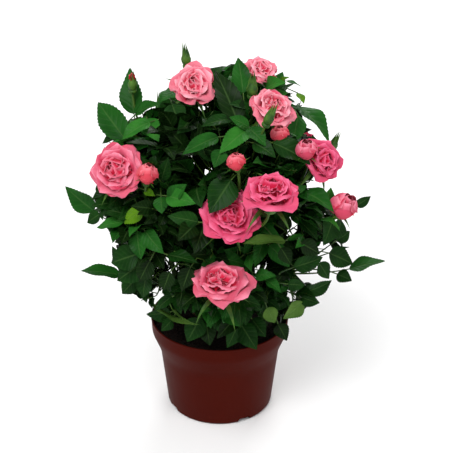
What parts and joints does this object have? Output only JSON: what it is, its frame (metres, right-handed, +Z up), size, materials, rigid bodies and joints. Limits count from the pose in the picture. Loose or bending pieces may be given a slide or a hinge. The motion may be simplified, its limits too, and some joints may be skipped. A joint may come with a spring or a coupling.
{
  "type": "miniature rose bush in a plastic pot",
  "caption": "Miniature rose bush with open blooms, green buds and glossy compound leaves, growing from peat in a tapered plastic nursery pot; stands as a decorative plant.",
  "frame": {"origin": "middle of the pot's flat underside", "axes": "+Z up through the plant, -Y towards the front, +X to the right seen from the front"},
  "size_m": [0.2611, 0.2473, 0.3357],
  "materials": {
    "pot": "satin brick-brown plastic",
    "soil": "damp dark peat",
    "canes": "smooth green bark, browner at the foot",
    "foliage": "glossy dark green leaves",
    "blooms": "soft pink petals"
  },
  "bodies": {
    "root": {"pot": "pot", "soil": "soil", "stump": "canes", "cane_top_left": "canes", "cane_top_right": "canes", "cane_upper_left": "canes", "cane_left": "canes", "cane_right": "canes", "cane_front": "canes", "cane_front_low": "canes", "cane_left_low": "canes", "cane_right_low": "canes", "cane_back_top": "canes", "cane_back_left": "canes", "cane_back_right": "canes", "cane_back_low": "canes", "foliage_top_left": "foliage", "foliage_top_right": "foliage", "foliage_upper_left": "foliage", "foliage_left": "foliage", "foliage_right": "foliage", "foliage_front": "foliage", "foliage_front_low": "foliage", "foliage_left_low": "foliage", "foliage_right_low": "foliage", "foliage_back_top": "foliage", "foliage_back_left": "foliage", "foliage_back_right": "foliage", "foliage_back_low": "foliage"}
  },
  "joints": []
}
